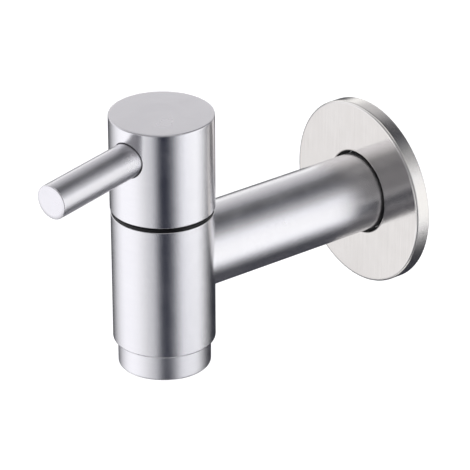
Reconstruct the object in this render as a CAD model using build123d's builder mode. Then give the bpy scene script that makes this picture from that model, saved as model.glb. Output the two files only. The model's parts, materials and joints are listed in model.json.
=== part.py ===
from build123d import *
import os
from math import cos, hypot, pi, radians, sin

# A wall tap for a utility sink: brushed stainless column and arm, a quarter-turn ceramic valve
# under a lever cap, a loose wall cover and a screw-in aerator. Millimetres, +Z up.
# The wall is the plane y = 0 and +Y runs into it. The arm lies on the Y axis.
# The column and the lever cap turn about the upright line x = 0, y = -reach.

# Column and arm
reach = 97.2
body_r = 19.0
body_wall = 2.5
body_above = 20.0
body_below = 31.2
body_round = 0.7
arm_r = 15.0
arm_wall = 2.5
arm_setback = 1.5

# Lever cap
cap_step = 0.25
cap_wall = 2.5
cap_roof = 3.5
cap_height = 36.8
cap_edge = 0.5
lever_r = 6.5
lever_reach = 58.5
lever_drop = 11.0
lever_edge = 0.4
lever_angle = 12.3
lever_droop_angle = 2.6
lever_play = 0.35
hub_r = 8.5
hub_flat_depth = 0.7
stud_r = 3.0
stud_in_lever = 12.5
stud_key_width = 3.0
stud_key_depth = 3.5

# Ring between the column and the cap
ring_height = 1.8
ring_inset = 0.2
ring_width = 3.8

# Valve carrier, pressed into the column
carrier_recess = 4.0
carrier_floor = 4.0
chamber_wall = 3.45
seat_hole_r = 6.0
side_port_r = 5.5

# Headwork, which screws into the carrier
half_inch_thread_r = 10.478
head_thread_length = 9.7
cage_length = 14.3
cage_r = 9.2
cage_wall = 1.0
window_angle = 100.0
head_flange_r = 13.0
head_flange_thickness = 2.5
hex_width = 17.0
hex_height = 6.5
neck_r = 8.0
neck_height = 3.0
stop_height = 2.5
stop_wall = 1.4
head_seal_section_r = 0.78

# Discs, spindle and what rides on it
disc_thickness = 3.0
disc_hub_r = 2.5
disc_port_r = 6.6
port_angle = 80.0
disc_key_width = 2.8
disc_slot_depth = 1.5
seal_thickness = 2.5
seal_proud = 1.0
foot_thickness = 2.9
spindle_r = 5.0
thrust_thickness = 1.0
spline_r = 4.0
spline_depth = 0.4
spline_teeth = 20
spline_tooth_share = 0.55
spindle_top_gap = 4.0
spindle_flat_depth = 1.0
spindle_ring_offset = 2.25
spindle_ring_section_r = 0.6
quarter_turn_angle = 90.0
stop_lug_angle = 30.0
stop_slack_angle = 1.0
stop_ring_r = 6.3
clip_thickness = 0.8
clip_depth = 0.8
clip_width = 2.0
clip_mouth_angle = 70.0

# Inlet nipple in the wall end of the arm
nipple_plug_length = 12.5
nipple_thread_length = 19.5
nipple_bore_r = 7.5
nipple_chamfer = 1.0
nipple_ring_section_r = 0.9

# Wall cover
cover_r = 35.7
cover_depth = 5.8
cover_sheet = 1.5
cover_bevel = 0.6
cover_gap = 1.1
cover_collar_width = 3.4
cover_collar_setback = 0.8
cover_ring_section_r = 0.85

# Outlet bush and aerator
bush_lip_height = 2.0
bush_wall = 2.4
bush_lip_width = 4.05
bush_length = 12.5
bush_setback = 0.1
aerator_step = 1.8
aerator_height = 10.15
aerator_gap = 0.15
aerator_edge = 0.6
aerator_neck_wall = 1.75
aerator_lip_width = 1.0
aerator_lip_height = 2.0
washer_thickness = 1.7
washer_width = 4.35
insert_wall = 1.5
insert_rim_height = 1.0
insert_rim_width = 1.1
insert_plate = 1.8
insert_jet_r = 0.9
insert_jets = 12
screen_thickness = 0.4
screen_spacing = 0.5
screen_count = 3
screen_hole_r = 1.1
screen_holes = 8
grid_thickness = 1.4
grid_cell_r = 0.7
grid_rib = 0.35
grid_spare_cells = 3

# Fits
fit_clearance = 0.05
turning_gap = 0.1
lapped_gap = 0.02
seal_clearance = 0.07
edge_break = 0.3
overrun = 1.0

# Heights on the column's axis, from the arm's axis
shell_bore_r = body_r - body_wall
insert_fit_r = shell_bore_r - fit_clearance
chamber_r = insert_fit_r - chamber_wall
arm_bore_r = arm_r - arm_wall
cap_z = body_above + ring_height + turning_gap
cap_r = body_r + cap_step
cap_bore_r = cap_r - cap_wall
cap_top_z = cap_z + cap_height
roof_z = cap_top_z - cap_roof
lever_z = cap_top_z - lever_drop
head_z = body_above - carrier_recess
thread_end_z = head_z - head_thread_length
cage_end_z = thread_end_z - cage_length
seat_z = cage_end_z - seal_proud
carrier_end_z = seat_z - carrier_floor
cage_bore_r = cage_r - cage_wall
disc_r = cage_bore_r - turning_gap
fixed_disc_z = seat_z + seal_thickness
moving_disc_z = fixed_disc_z + disc_thickness + lapped_gap
foot_z = moving_disc_z + disc_thickness + turning_gap
foot_top_z = foot_z + foot_thickness
thrust_z = foot_top_z + turning_gap
shoulder_z = thrust_z + thrust_thickness + turning_gap
hex_z = head_z + head_flange_thickness
ring_spigot_z = hex_z + turning_gap
neck_z = hex_z + hex_height
neck_top_z = neck_z + neck_height
stop_ring_z = neck_top_z + turning_gap
stop_ring_top_z = stop_ring_z + stop_height - 2 * turning_gap
clip_z = stop_ring_top_z + turning_gap
clip_top_z = clip_z + clip_thickness
collar_top_z = clip_top_z + clip_thickness
hub_z = collar_top_z + turning_gap
spindle_top_z = roof_z - spindle_top_gap
spindle_bore_r = spindle_r + fit_clearance
spindle_groove_z = (shoulder_z + head_z) / 2

# Heights below the column, for the outlet
bush_z = bush_setback - body_below
bush_top_z = bush_z + bush_length
bush_lip_z = bush_top_z - bush_lip_height
washer_z = bush_lip_z - washer_thickness
neck_end_z = washer_z - insert_rim_height
bush_thread_r = insert_fit_r - bush_wall
bush_lip_r = bush_thread_r - bush_lip_width
aerator_r = body_r - aerator_step
aerator_neck_r = bush_thread_r - turning_gap
aerator_bore_r = aerator_neck_r - aerator_neck_wall
washer_r = aerator_neck_r - turning_gap
sleeve_top_z = -body_below - aerator_gap
sleeve_z = sleeve_top_z - aerator_height
grid_z = sleeve_z + aerator_lip_height
grid_top_z = grid_z + grid_thickness
insert_r = aerator_bore_r - fit_clearance
insert_bore_r = insert_r - insert_wall
screen_r = insert_bore_r - fit_clearance

# Planes and axes
column_plane = Plane(origin=(0, -reach, 0), x_dir=(1, 0, 0), z_dir=(0, -1, 0))
column_axis = Axis((0, -reach, 0), (0, 0, 1))
lever_heading = lever_angle - quarter_turn_angle
lever_level_share = cos(radians(lever_droop_angle))
lever_way = (
    cos(radians(lever_heading)) * lever_level_share,
    sin(radians(lever_heading)) * lever_level_share,
    -sin(radians(lever_droop_angle)),
)


def level(z):
    """The flat plane at height z, centred on the column."""
    return Plane(origin=(0, -reach, z))


def across(y):
    """The upright plane that faces the wall at depth y, centred on the arm."""
    return Plane(origin=(0, y, 0), x_dir=(-1, 0, 0), z_dir=(0, 1, 0))


def along_lever(distance):
    """The plane square to the lever, this far out from the column's axis."""
    centre = Vector(0, -reach, lever_z) + Vector(*lever_way) * distance
    return Plane(origin=centre, z_dir=lever_way)


def wedge(radius, start_angle, swept_angle):
    """A slice of a round plate, from its centre out to the radius."""
    with BuildSketch() as slice_:
        with BuildLine():
            rim = CenterArc((0, 0), radius, start_angle, swept_angle)
            Line((0, 0), rim @ 0)
            Line((0, 0), rim @ 1)
        make_face()
    return slice_.sketch


def spline_outline(clearance):
    """The toothed section of the spindle's head, or of the bore that it enters."""
    root_r = spline_r - spline_depth
    tooth_width = spline_tooth_share * 2 * pi * root_r / spline_teeth
    with BuildSketch() as outline:
        Circle(root_r + clearance)
        with PolarLocations(root_r, spline_teeth):
            Rectangle(2 * (spline_depth + clearance), tooth_width + 2 * clearance)
    return outline.sketch


# Column: a turned tube with a rounded foot, open to the arm on the wall side
with BuildPart() as body_shell:
    with BuildSketch(level(-body_below)):
        Circle(body_r)
        Circle(shell_bore_r, mode=Mode.SUBTRACT)
    extrude(amount=body_below + body_above)
    fillet(body_shell.edges().group_by(Axis.Z)[0].sort_by(SortBy.RADIUS)[-1], body_round)
    chamfer(body_shell.edges().group_by(Axis.Z)[-1].sort_by(SortBy.RADIUS)[-1], edge_break)
    with BuildSketch(across(-reach)):
        Circle(side_port_r + edge_break)
    extrude(amount=body_r + overrun, mode=Mode.SUBTRACT)

# Valve carrier: thread for the headwork, water chamber and seat
with BuildPart() as valve_carrier:
    pocket_r = half_inch_thread_r + 2 * head_seal_section_r + 2 * seal_clearance
    pocket_z = head_z - 2 * head_seal_section_r - fit_clearance
    thread_bore_r = half_inch_thread_r + seal_clearance
    with BuildSketch(column_plane):
        with BuildLine():
            Polyline(
                (insert_fit_r, carrier_end_z),
                (insert_fit_r, head_z),
                (pocket_r, head_z),
                (pocket_r, pocket_z),
                (thread_bore_r, pocket_z),
                (thread_bore_r, thread_end_z),
                (chamber_r, thread_end_z),
                (chamber_r, seat_z),
                (seat_hole_r, seat_z),
                (seat_hole_r, carrier_end_z),
                close=True,
            )
        make_face()
    revolve(axis=column_axis)
    with BuildSketch(across(-reach)):
        Circle(side_port_r)
    extrude(amount=body_r, mode=Mode.SUBTRACT)

# Outlet bush: the female thread for the aerator, with a lip for its washer
with BuildPart() as outlet_bush:
    with BuildSketch(column_plane):
        with BuildLine():
            Polyline(
                (insert_fit_r, bush_z),
                (insert_fit_r, bush_top_z),
                (bush_lip_r, bush_top_z),
                (bush_lip_r, bush_lip_z),
                (bush_thread_r, bush_lip_z),
                (bush_thread_r, bush_z),
                close=True,
            )
        make_face()
    revolve(axis=column_axis)

# Arm: a tube coped to the column and welded on
with BuildPart() as arm_tube:
    with BuildSketch(across(-reach)):
        Circle(arm_r)
        Circle(arm_bore_r, mode=Mode.SUBTRACT)
    extrude(amount=reach - arm_setback)
    with BuildSketch(level(-body_below)):
        Circle(body_r)
    extrude(amount=body_below + body_above, mode=Mode.SUBTRACT)
    chamfer(arm_tube.edges().group_by(Axis.Y)[-1].sort_by(SortBy.RADIUS)[-1], edge_break)

# Inlet nipple: a plug in the arm's end with the supply thread
with BuildPart() as inlet_nipple:
    plug_r = arm_bore_r - fit_clearance
    plug_y = -arm_setback - nipple_plug_length
    nipple_end_y = nipple_thread_length - arm_setback
    groove_r = arm_bore_r - 2 * nipple_ring_section_r - fit_clearance
    groove_half = nipple_ring_section_r + seal_clearance
    groove_y = plug_y + nipple_plug_length / 2
    with BuildSketch(Plane.XY):
        with BuildLine():
            Polyline(
                (nipple_bore_r, plug_y),
                (plug_r, plug_y),
                (plug_r, groove_y - groove_half),
                (groove_r, groove_y - groove_half),
                (groove_r, groove_y + groove_half),
                (plug_r, groove_y + groove_half),
                (plug_r, -arm_setback),
                (half_inch_thread_r, -arm_setback),
                (half_inch_thread_r, nipple_end_y - nipple_chamfer),
                (half_inch_thread_r - nipple_chamfer, nipple_end_y),
                (nipple_bore_r, nipple_end_y),
                close=True,
            )
        make_face()
    revolve(axis=Axis.Y)

# Seal ring on the nipple's plug
with BuildPart() as nipple_o_ring:
    with BuildSketch(Plane.XY):
        with Locations((groove_r + nipple_ring_section_r, groove_y)):
            Circle(nipple_ring_section_r)
    revolve(axis=Axis.Y)

# Headwork: cage with two windows, thread, flange, hexagon, neck and the stop for the quarter turn
with BuildPart() as headwork_body:
    with BuildSketch(column_plane):
        with BuildLine():
            Polyline(
                (cage_bore_r, cage_end_z),
                (cage_r, cage_end_z),
                (cage_r, thread_end_z),
                (half_inch_thread_r, thread_end_z),
                (half_inch_thread_r, head_z),
                (head_flange_r, head_z),
                (head_flange_r, hex_z),
                (neck_r, hex_z),
                (neck_r, neck_top_z),
                (spindle_bore_r, neck_top_z),
                (spindle_bore_r, shoulder_z),
                (cage_bore_r, shoulder_z),
                close=True,
            )
        make_face()
    revolve(axis=column_axis)
    with BuildSketch(level(hex_z)):
        RegularPolygon(hex_width / 2, 6, major_radius=False)
        Circle(neck_r, mode=Mode.SUBTRACT)
    extrude(amount=hex_height)
    stop_open_start = lever_heading - stop_lug_angle / 2 - stop_slack_angle
    stop_open_angle = quarter_turn_angle + stop_lug_angle + 2 * stop_slack_angle
    with BuildSketch(level(neck_top_z)):
        Circle(neck_r)
        Circle(neck_r - stop_wall, mode=Mode.SUBTRACT)
        add(wedge(neck_r + overrun, stop_open_start, stop_open_angle), mode=Mode.SUBTRACT)
    extrude(amount=stop_height)
    with BuildSketch(level(moving_disc_z)):
        with PolarLocations(0, 2):
            add(wedge(cage_r + overrun, quarter_turn_angle - window_angle / 2, window_angle))
    extrude(amount=disc_thickness + turning_gap, mode=Mode.SUBTRACT)
    with BuildSketch(level(cage_end_z)):
        Rectangle(2 * (cage_r + overrun), disc_key_width + 2 * turning_gap)
    extrude(amount=fixed_disc_z + disc_thickness - cage_end_z, mode=Mode.SUBTRACT)

# Seal ring under the headwork's flange
with BuildPart() as headwork_o_ring:
    with BuildSketch(column_plane):
        with Locations((pocket_r - head_seal_section_r - seal_clearance, head_z - head_seal_section_r)):
            Circle(head_seal_section_r)
    revolve(axis=column_axis)

# Rubber seal between the seat and the fixed disc
with BuildPart() as headwork_seal:
    with BuildSketch(level(seat_z)):
        Circle(disc_r)
        Circle(disc_port_r, mode=Mode.SUBTRACT)
    extrude(amount=seal_thickness)

# Fixed ceramic disc: two ports, and two keys that stop it turning in the cage
with BuildPart() as fixed_disc:
    with BuildSketch(level(fixed_disc_z)):
        Circle(disc_port_r)
        Rectangle(2 * (cage_r - turning_gap), disc_key_width)
        with PolarLocations(0, 2):
            add(wedge(disc_port_r, quarter_turn_angle - port_angle / 2, port_angle), mode=Mode.SUBTRACT)
        Circle(disc_hub_r)
        with BuildSketch(mode=Mode.PRIVATE) as rim:
            Circle(disc_r)
            Circle(disc_port_r, mode=Mode.SUBTRACT)
        add(rim.sketch)
    extrude(amount=disc_thickness)

# Moving ceramic disc: a bow tie whose notches open the ports, with a slot for the spindle
with BuildPart() as moving_disc:
    with BuildSketch(level(moving_disc_z)):
        Circle(disc_r - turning_gap)
        with PolarLocations(0, 2):
            add(wedge(disc_r, -port_angle / 2, port_angle), mode=Mode.SUBTRACT)
        Circle(disc_hub_r)
    extrude(amount=disc_thickness)
    with BuildSketch(level(moving_disc_z + disc_thickness - disc_slot_depth)):
        Rectangle(disc_key_width + 2 * turning_gap, 2 * (disc_r + overrun))
    extrude(amount=disc_slot_depth + overrun, mode=Mode.SUBTRACT)

# Spindle: foot with a driving tongue, shaft with seal grooves, flats, clip groove and spline
with BuildPart() as spindle:
    ring_groove_r = spindle_r - 2 * spindle_ring_section_r
    with BuildSketch(level(foot_z)):
        Circle(disc_r - turning_gap)
    extrude(amount=foot_thickness)
    with BuildSketch(level(foot_z - disc_slot_depth)):
        Rectangle(disc_key_width, 2 * (disc_port_r - turning_gap))
    extrude(amount=disc_slot_depth)
    with BuildSketch(level(foot_top_z)):
        Circle(spindle_r)
    extrude(amount=collar_top_z - foot_top_z)
    with BuildSketch(level(neck_top_z)):
        Circle(spindle_r + overrun)
        Rectangle(2 * (spindle_r + overrun), 2 * (spindle_r - spindle_flat_depth), mode=Mode.SUBTRACT)
    extrude(amount=stop_ring_top_z + turning_gap - neck_top_z, mode=Mode.SUBTRACT)
    with BuildSketch(level(clip_z)):
        Circle(spindle_r + overrun)
        Circle(spindle_r - clip_depth, mode=Mode.SUBTRACT)
    extrude(amount=clip_thickness, mode=Mode.SUBTRACT)
    for side in (-1, 1):
        ring_z = spindle_groove_z + side * spindle_ring_offset
        with BuildSketch(level(ring_z - spindle_ring_section_r - seal_clearance)):
            Circle(spindle_r + overrun)
            Circle(ring_groove_r, mode=Mode.SUBTRACT)
        extrude(amount=2 * (spindle_ring_section_r + seal_clearance), mode=Mode.SUBTRACT)
    with BuildSketch(level(collar_top_z)):
        add(spline_outline(0))
    extrude(amount=spindle_top_z - collar_top_z)
    chamfer(spindle.faces().sort_by(Axis.Z)[-1].edges(), edge_break / 2)

# Two seal rings on the spindle
with BuildPart() as spindle_o_rings:
    with BuildSketch(column_plane):
        with Locations((spindle_r - spindle_ring_section_r, spindle_groove_z)):
            with GridLocations(0, 2 * spindle_ring_offset, 1, 2):
                Circle(spindle_ring_section_r)
    revolve(axis=column_axis)

# Slippery washer between the spindle's foot and the headwork
with BuildPart() as thrust_washer:
    with BuildSketch(level(thrust_z)):
        Circle(disc_r - turning_gap)
        Circle(spindle_r + turning_gap, mode=Mode.SUBTRACT)
    extrude(amount=thrust_thickness)

# Stop ring: keyed on the spindle's flats, its lug meets the ends of the headwork's wall
with BuildPart() as stop_ring:
    with BuildSketch(level(stop_ring_z)):
        Circle(stop_ring_r)
        lug_r = neck_r - turning_gap
        add(wedge(lug_r, lever_heading - stop_lug_angle / 2, stop_lug_angle))
        with BuildSketch(mode=Mode.PRIVATE) as keyed_bore:
            Circle(spindle_bore_r)
            Rectangle(
                2 * (spindle_r + overrun),
                2 * (spindle_r - spindle_flat_depth + fit_clearance),
                mode=Mode.INTERSECT,
            )
        add(keyed_bore.sketch, mode=Mode.SUBTRACT)
    extrude(amount=stop_ring_top_z - stop_ring_z)

# Snap ring that holds the stop ring down
with BuildPart() as spindle_clip:
    with BuildSketch(level(clip_z)):
        Circle(spindle_r - clip_depth + fit_clearance + clip_width)
        Circle(spindle_r - clip_depth + fit_clearance, mode=Mode.SUBTRACT)
        add(wedge(neck_r, -clip_mouth_angle / 2, clip_mouth_angle), mode=Mode.SUBTRACT)
    extrude(amount=clip_thickness)

# Black ring that closes the joint between the column and the cap
with BuildPart() as slip_ring:
    ring_r = body_r - ring_inset
    ring_bore_r = ring_r - ring_width
    with BuildSketch(column_plane):
        with BuildLine():
            Polyline(
                (ring_bore_r, ring_spigot_z),
                (insert_fit_r, ring_spigot_z),
                (insert_fit_r, body_above),
                (ring_r, body_above),
                (ring_r, body_above + ring_height),
                (ring_bore_r, body_above + ring_height),
                close=True,
            )
        make_face()
    revolve(axis=column_axis)

# Lever cap: a deep cup with a hole for the lever
with BuildPart() as handle_cap:
    with BuildSketch(level(cap_z)):
        Circle(cap_r)
    extrude(amount=cap_height)
    fillet(handle_cap.edges().group_by(Axis.Z)[-1], cap_edge)
    chamfer(handle_cap.edges().group_by(Axis.Z)[0], edge_break)
    with BuildSketch(level(cap_z)):
        Circle(cap_bore_r)
    extrude(amount=cap_height - cap_roof, mode=Mode.SUBTRACT)
    with BuildSketch(along_lever(0)):
        Circle(lever_r + lever_play)
    extrude(amount=cap_r + overrun, mode=Mode.SUBTRACT)

# Hub: joins the cap's roof to the spline, with a flat and a thread for the lever
with BuildPart() as handle_hub:
    hub_flat = hub_r - hub_flat_depth
    with BuildSketch(level(hub_z)):
        Circle(hub_r)
    extrude(amount=roof_z - hub_z)
    with BuildSketch(level(hub_z)):
        add(spline_outline(fit_clearance))
    extrude(amount=spindle_top_z + turning_gap - hub_z, mode=Mode.SUBTRACT)
    with BuildSketch(along_lever(hub_flat)):
        Circle(lever_r + lever_play)
    extrude(amount=hub_r, mode=Mode.SUBTRACT)
    with BuildSketch(along_lever(0)):
        Circle(stud_r + fit_clearance)
    extrude(amount=hub_r + overrun, mode=Mode.SUBTRACT)

# Lever: a round bar with a crisp end, tapped for the stud
with BuildPart() as lever_rod:
    with BuildSketch(along_lever(hub_flat)):
        Circle(lever_r)
        Circle(stud_r + fit_clearance, mode=Mode.SUBTRACT)
    extrude(amount=stud_in_lever + overrun)
    with BuildSketch(along_lever(hub_flat + stud_in_lever + overrun)):
        Circle(lever_r)
    extrude(amount=lever_reach - hub_flat - stud_in_lever - overrun)
    outer_end = lever_rod.faces().sort_by(Axis((0, 0, 0), lever_way))[-1]
    chamfer(outer_end.edges(), lever_edge)

# Stud: holds the lever on the hub and grips the spindle
with BuildPart() as lever_stud:
    stud_start = spline_r + fit_clearance + stud_r * sin(radians(lever_droop_angle))
    stud_end = hub_flat + stud_in_lever
    with BuildSketch(along_lever(stud_start)):
        Circle(stud_r)
    extrude(amount=stud_end - stud_start)
    with BuildSketch(along_lever(stud_end - stud_key_depth)):
        RegularPolygon(stud_key_width / 2, 6, major_radius=False)
    extrude(amount=stud_key_depth, mode=Mode.SUBTRACT)

# Wall cover: a shallow dish with a collar that holds its seal ring
with BuildPart() as wall_cover:
    hole_r = arm_r + cover_gap
    collar_r = hole_r + cover_collar_width
    cover_ring_r = arm_r + fit_clearance + cover_ring_section_r
    cover_groove_r = cover_ring_r + cover_ring_section_r + fit_clearance
    cover_inner_y = cover_sheet - cover_depth
    cover_ring_y = (cover_inner_y - cover_collar_setback) / 2
    cover_groove_half = cover_ring_section_r + seal_clearance
    with BuildSketch(Plane.XY):
        with BuildLine():
            Polyline(
                (hole_r, -cover_depth),
                (cover_r - cover_bevel, -cover_depth),
                (cover_r, cover_bevel - cover_depth),
                (cover_r, 0),
                (cover_r - cover_sheet, 0),
                (cover_r - cover_sheet, cover_inner_y),
                (collar_r, cover_inner_y),
                (collar_r, -cover_collar_setback),
                (hole_r, -cover_collar_setback),
                (hole_r, cover_ring_y + cover_groove_half),
                (cover_groove_r, cover_ring_y + cover_groove_half),
                (cover_groove_r, cover_ring_y - cover_groove_half),
                (hole_r, cover_ring_y - cover_groove_half),
                close=True,
            )
        make_face()
    revolve(axis=Axis.Y)

# Seal ring in the cover, which grips the arm
with BuildPart() as cover_o_ring:
    with BuildSketch(Plane.XY):
        with Locations((cover_ring_r, cover_ring_y)):
            Circle(cover_ring_section_r)
    revolve(axis=Axis.Y)

# Flat washer between the bush's lip and the aerator
with BuildPart() as aerator_washer:
    with BuildSketch(level(washer_z)):
        Circle(washer_r)
        Circle(washer_r - washer_width, mode=Mode.SUBTRACT)
    extrude(amount=washer_thickness)

# Aerator sleeve: the ring seen under the column, with its threaded neck
with BuildPart() as aerator_sleeve:
    sleeve_mouth_r = aerator_bore_r - aerator_lip_width
    with BuildSketch(column_plane):
        with BuildLine():
            Polyline(
                (sleeve_mouth_r, sleeve_z),
                (aerator_r - aerator_edge, sleeve_z),
                (aerator_r, sleeve_z + aerator_edge),
                (aerator_r, sleeve_top_z),
                (aerator_neck_r, sleeve_top_z),
                (aerator_neck_r, neck_end_z),
                (aerator_bore_r, neck_end_z),
                (aerator_bore_r, grid_z),
                (sleeve_mouth_r, grid_z),
                close=True,
            )
        make_face()
    revolve(axis=column_axis)

# Aerator insert: plastic cup with a jet plate and a rim that sits on the neck
with BuildPart() as aerator_insert:
    insert_rim_r = insert_r + insert_rim_width
    plate_z = neck_end_z - insert_plate
    with BuildSketch(column_plane):
        with BuildLine():
            Polyline(
                (0, washer_z),
                (insert_rim_r, washer_z),
                (insert_rim_r, neck_end_z),
                (insert_r, neck_end_z),
                (insert_r, grid_top_z),
                (insert_bore_r, grid_top_z),
                (insert_bore_r, plate_z),
                (0, plate_z),
                close=True,
            )
        make_face()
    revolve(axis=column_axis)
    with BuildSketch(level(washer_z)):
        with PolarLocations(insert_bore_r / 2, insert_jets):
            Circle(insert_jet_r)
    extrude(amount=plate_z - washer_z - overrun, mode=Mode.SUBTRACT)

# Stack of screens over the grid
with BuildPart() as aerator_screens:
    for layer in range(screen_count):
        screen_z = grid_top_z + layer * (screen_thickness + screen_spacing)
        with BuildSketch(level(screen_z)):
            Circle(screen_r)
            with PolarLocations(screen_r / 3, screen_holes // 2):
                Circle(screen_hole_r, mode=Mode.SUBTRACT)
            with PolarLocations(2 * screen_r / 3, screen_holes):
                Circle(screen_hole_r, mode=Mode.SUBTRACT)
        extrude(amount=screen_thickness)

# Honeycomb grid at the mouth
with BuildPart() as aerator_grid:
    cell_pitch_r = grid_cell_r + grid_rib / 2
    cells_across = 2 * int(aerator_bore_r / (2 * cell_pitch_r)) + grid_spare_cells
    open_r = sleeve_mouth_r - 2 * grid_cell_r
    cell_field = HexLocations(cell_pitch_r, cells_across, cells_across)
    cells = [place for place in cell_field if hypot(place.position.X, place.position.Y) < open_r]
    with BuildSketch(level(grid_z)):
        Circle(aerator_bore_r - fit_clearance)
        with Locations(*cells):
            RegularPolygon(grid_cell_r, 6, major_radius=False, mode=Mode.SUBTRACT)
    extrude(amount=grid_thickness)

PIECES = {
    "body_shell": body_shell,
    "valve_carrier": valve_carrier,
    "outlet_bush": outlet_bush,
    "arm_tube": arm_tube,
    "inlet_nipple": inlet_nipple,
    "nipple_o_ring": nipple_o_ring,
    "headwork_body": headwork_body,
    "headwork_o_ring": headwork_o_ring,
    "headwork_seal": headwork_seal,
    "fixed_disc": fixed_disc,
    "moving_disc": moving_disc,
    "spindle": spindle,
    "spindle_o_rings": spindle_o_rings,
    "thrust_washer": thrust_washer,
    "stop_ring": stop_ring,
    "spindle_clip": spindle_clip,
    "slip_ring": slip_ring,
    "handle_cap": handle_cap,
    "handle_hub": handle_hub,
    "lever_rod": lever_rod,
    "lever_stud": lever_stud,
    "wall_cover": wall_cover,
    "cover_o_ring": cover_o_ring,
    "aerator_washer": aerator_washer,
    "aerator_sleeve": aerator_sleeve,
    "aerator_insert": aerator_insert,
    "aerator_screens": aerator_screens,
    "aerator_grid": aerator_grid,
}

os.makedirs("parts", exist_ok=True)
for node, piece in PIECES.items():
    piece.part.label = node
    export_step(piece.part, f"parts/{node}.step")
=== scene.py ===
"""Dresses the wall tap in brushed stainless steel and sets it in a white studio."""

from __future__ import annotations

import json
import logging
import math
from dataclasses import dataclass, field
from enum import Enum

import bpy
from mathutils import Matrix, Vector

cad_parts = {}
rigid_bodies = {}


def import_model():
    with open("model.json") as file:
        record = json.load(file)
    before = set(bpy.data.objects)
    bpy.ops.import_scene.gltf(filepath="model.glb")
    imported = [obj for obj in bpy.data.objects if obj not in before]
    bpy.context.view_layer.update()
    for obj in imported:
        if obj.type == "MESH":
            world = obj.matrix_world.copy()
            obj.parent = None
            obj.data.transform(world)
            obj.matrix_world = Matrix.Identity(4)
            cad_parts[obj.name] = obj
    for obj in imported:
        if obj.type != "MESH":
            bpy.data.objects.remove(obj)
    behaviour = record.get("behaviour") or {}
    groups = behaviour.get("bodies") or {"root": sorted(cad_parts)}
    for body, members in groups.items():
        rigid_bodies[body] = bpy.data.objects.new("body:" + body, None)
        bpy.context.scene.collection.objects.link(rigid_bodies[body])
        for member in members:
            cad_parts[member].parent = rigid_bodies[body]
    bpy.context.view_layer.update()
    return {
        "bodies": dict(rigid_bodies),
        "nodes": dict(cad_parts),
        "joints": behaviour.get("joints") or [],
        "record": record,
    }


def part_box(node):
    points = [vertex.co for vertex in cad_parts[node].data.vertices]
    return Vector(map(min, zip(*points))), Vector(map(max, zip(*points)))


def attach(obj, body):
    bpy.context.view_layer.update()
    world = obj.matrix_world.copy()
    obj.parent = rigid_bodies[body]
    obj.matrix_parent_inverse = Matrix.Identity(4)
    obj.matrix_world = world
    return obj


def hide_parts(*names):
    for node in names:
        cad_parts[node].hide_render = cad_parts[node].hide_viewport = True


LOG = logging.getLogger("wall_tap")
MM = 0.001
BRUSH_MAP = "brush"
# Faces that meet at more than this keep a crisp edge.
CREASE_DEG = 28.0
# Blender's wave texture runs through 20 radians over a length of one at scale 1.
WAVE_RADIANS = 20.0


def linear(hex_colour: str) -> tuple[float, float, float, float]:
    """Turns an sRGB hex colour into linear light.

    Args:
        hex_colour: six hex digits after a hash.

    Returns:
        Red, green, blue and an alpha of one.
    """
    parts = [int(hex_colour[i : i + 2], 16) / 255 for i in (1, 3, 5)]
    light = [c / 12.92 if c <= 0.04045 else ((c + 0.055) / 1.055) ** 2.4 for c in parts]
    return (*light, 1.0)


def add_node(
    tree: bpy.types.NodeTree, kind: str, inputs: dict | None = None, **settings: object
) -> bpy.types.Node:
    """Adds one shader node with its settings, values and links.

    Args:
        tree: the node tree that takes the node.
        kind: the node's type name.
        inputs: socket name or number to a value, or to the output socket that feeds it.
        settings: the node's own properties.

    Returns:
        The new node.
    """
    node = tree.nodes.new(kind)
    for name, value in settings.items():
        setattr(node, name, value)
    for socket, value in (inputs or {}).items():
        if isinstance(value, bpy.types.NodeSocket):
            tree.links.new(value, node.inputs[socket])
        else:
            node.inputs[socket].default_value = value
    return node


def empty_material(name: str) -> tuple[bpy.types.Material, bpy.types.NodeTree]:
    """Makes a material with no nodes yet.

    Args:
        name: the material's name.

    Returns:
        The material and its node tree.
    """
    material = bpy.data.materials.new(name)
    material.use_nodes = True
    material.node_tree.nodes.clear()
    return material, material.node_tree


class Grain(Enum):
    """Which way the marks of brushing run on a piece, as the stretch of the pattern along X, Y and Z."""

    LEVEL_RINGS = (0.02, 0.02, 1.0)
    UPRIGHT_LINES = (1.0, 0.02, 0.02)
    RINGS_ALONG_Y = (0.02, 1.0, 0.02)
    EVEN = (1.0, 1.0, 1.0)


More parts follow.
